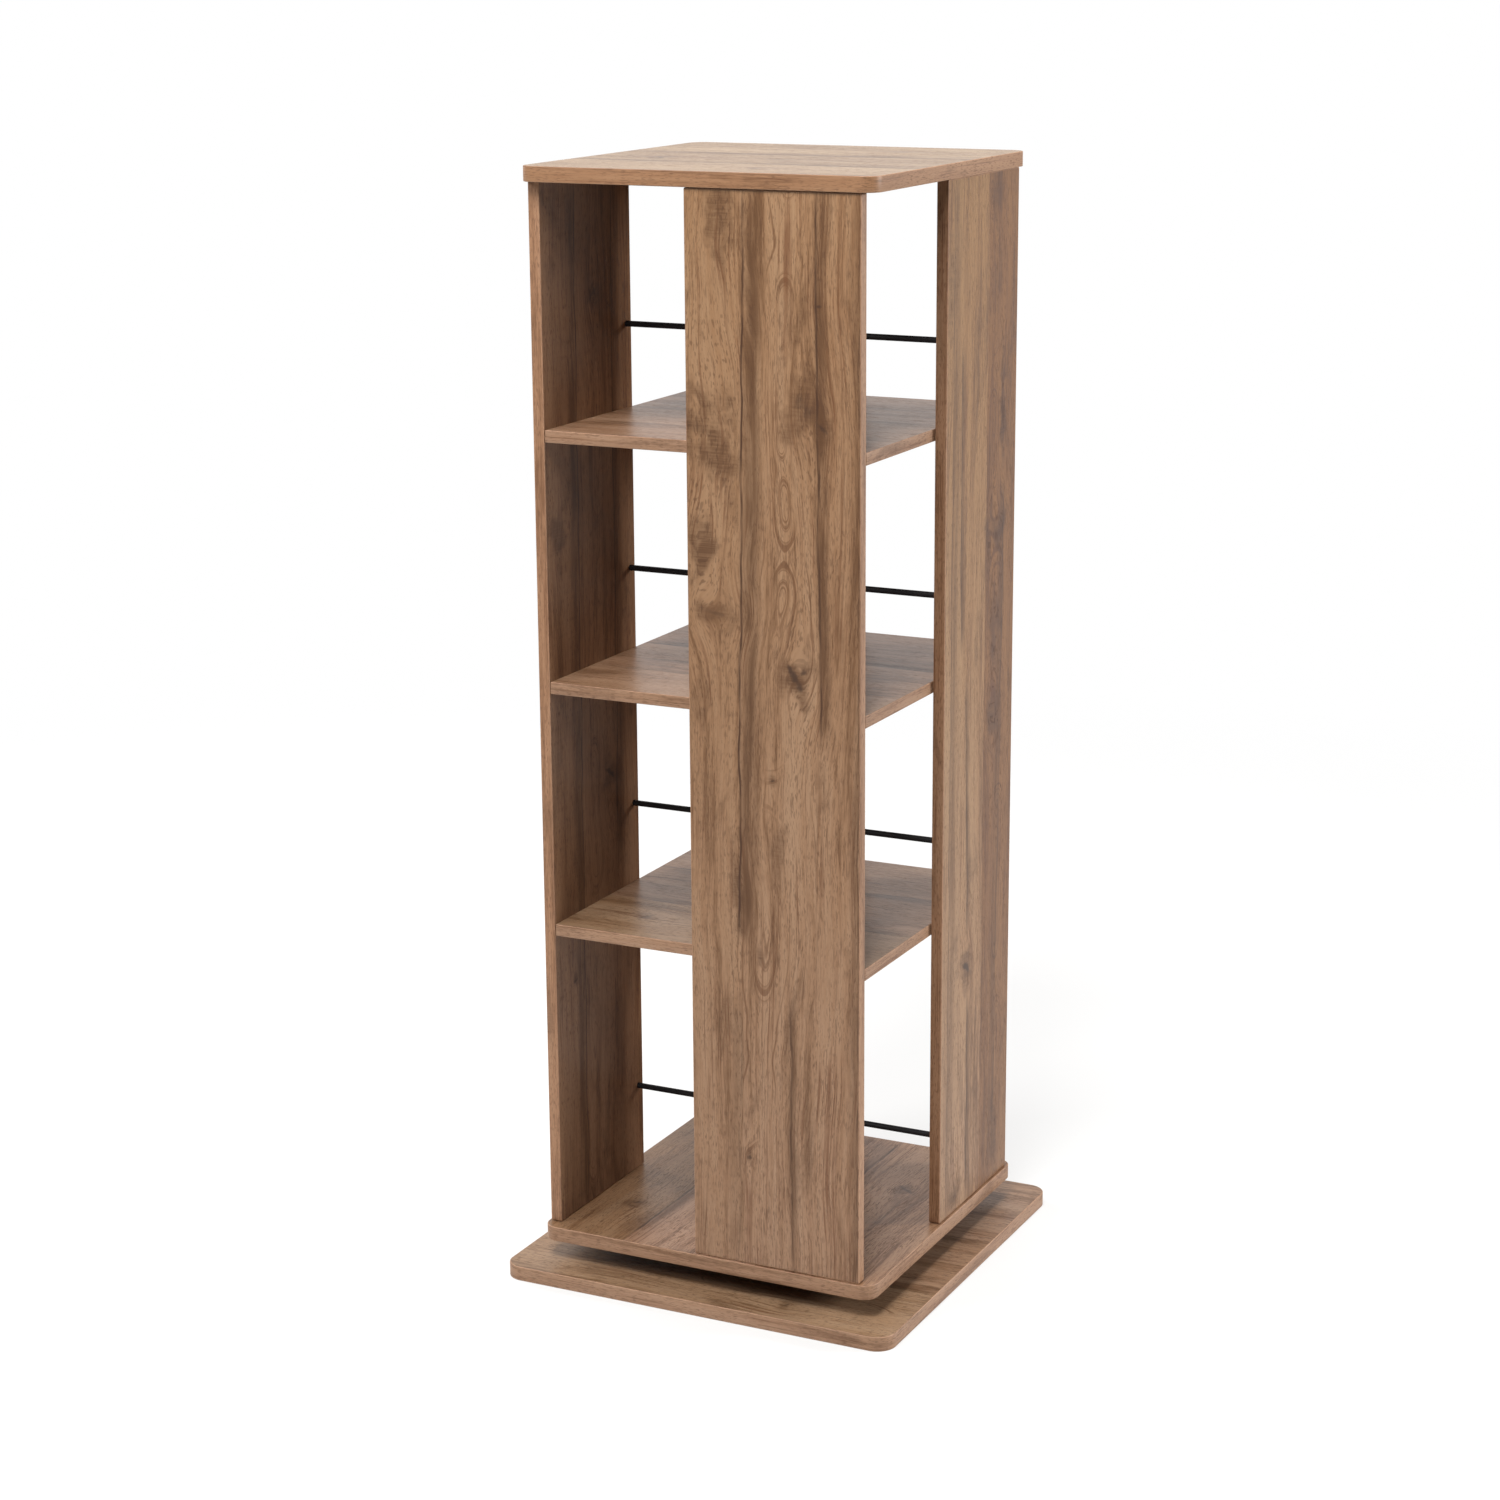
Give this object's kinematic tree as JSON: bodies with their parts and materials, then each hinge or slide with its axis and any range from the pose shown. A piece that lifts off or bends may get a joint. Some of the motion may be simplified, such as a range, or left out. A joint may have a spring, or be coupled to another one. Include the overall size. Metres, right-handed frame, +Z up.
{
  "type": "revolving bookcase",
  "caption": "Tall square bookcase of open tiers between pinwheel panels, turning on a ball bearing over a still square base plate.",
  "frame": {"origin": "centre of the base plate's underside, on the turning axis", "axes": "+Z up along the turning axis, -Y towards the side of the front panel, +X towards the side of the right panel"},
  "size_m": [0.43, 0.43, 1.1216],
  "materials": {
    "oak_laminate": "satin knotty oak print on particle board, grain along the panels, with matching edge banding",
    "zinc_plated_steel": "bright zinc plating",
    "bearing_steel": "polished balls, greased",
    "cast_zinc": "dull cast zinc",
    "black_coated_steel": "satin black powder coat",
    "beech": "bare fluted beech"
  },
  "bodies": {
    "base": {"base_plate": "oak_laminate", "bearing_lower_plate": "zinc_plated_steel", "pivot_rivet": "zinc_plated_steel", "bearing_lower_screw_1": "zinc_plated_steel", "bearing_lower_screw_2": "zinc_plated_steel", "bearing_lower_screw_3": "zinc_plated_steel", "bearing_lower_screw_4": "zinc_plated_steel"},
    "ball_cage": {"ball_cage": "bearing_steel"},
    "carcass": {"bearing_upper_plate": "zinc_plated_steel", "bearing_upper_screw_1": "zinc_plated_steel", "bearing_upper_screw_2": "zinc_plated_steel", "bearing_upper_screw_3": "zinc_plated_steel", "bearing_upper_screw_4": "zinc_plated_steel", "bottom_board": "oak_laminate", "bottom_screw_front": "zinc_plated_steel", "bottom_screw_right": "zinc_plated_steel", "bottom_screw_back": "zinc_plated_steel", "bottom_screw_left": "zinc_plated_steel", "front_panel": "oak_laminate", "right_panel": "oak_laminate", "back_panel": "oak_laminate", "left_panel": "oak_laminate", "shelf_1": "oak_laminate", "shelf_2": "oak_laminate", "shelf_3": "oak_laminate", "cam_nut_front_1": "cast_zinc", "cam_nut_right_1": "cast_zinc", "cam_nut_back_1": "cast_zinc", "cam_nut_left_1": "cast_zinc", "cam_nut_front_2": "cast_zinc", "cam_nut_right_2": "cast_zinc", "cam_nut_back_2": "cast_zinc", "cam_nut_left_2": "cast_zinc", "cam_nut_front_3": "cast_zinc", "cam_nut_right_3": "cast_zinc", "cam_nut_back_3": "cast_zinc", "cam_nut_left_3": "cast_zinc", "cam_bolt_front_1": "zinc_plated_steel", "cam_bolt_right_1": "zinc_plated_steel", "cam_bolt_back_1": "zinc_plated_steel", "cam_bolt_left_1": "zinc_plated_steel", "cam_bolt_front_2": "zinc_plated_steel", "cam_bolt_right_2": "zinc_plated_steel", "cam_bolt_back_2": "zinc_plated_steel", "cam_bolt_left_2": "zinc_plated_steel", "cam_bolt_front_3": "zinc_plated_steel", "cam_bolt_right_3": "zinc_plated_steel", "cam_bolt_back_3": "zinc_plated_steel", "cam_bolt_left_3": "zinc_plated_steel", "top_board": "oak_laminate", "top_dowel_front": "beech", "top_dowel_right": "beech", "top_dowel_back": "beech", "top_dowel_left": "beech", "book_rod_1": "black_coated_steel", "book_rod_2": "black_coated_steel", "book_rod_3": "black_coated_steel", "book_rod_4": "black_coated_steel"}
  },
  "joints": [
    {"name": "carcass_spin", "type": "hinge", "parent": "base", "child": "carcass", "pos_m": [0, 0, 0.0258], "axis": [0, 0, 1], "continuous": true},
    {"name": "cage_spin", "type": "hinge", "parent": "base", "child": "ball_cage", "pos_m": [0, 0, 0.0258], "axis": [0, 0, 1], "continuous": true}
  ],
  "couplings": [
    {"joint": "cage_spin", "follows": "carcass_spin", "ratio": 0.5}
  ]
}
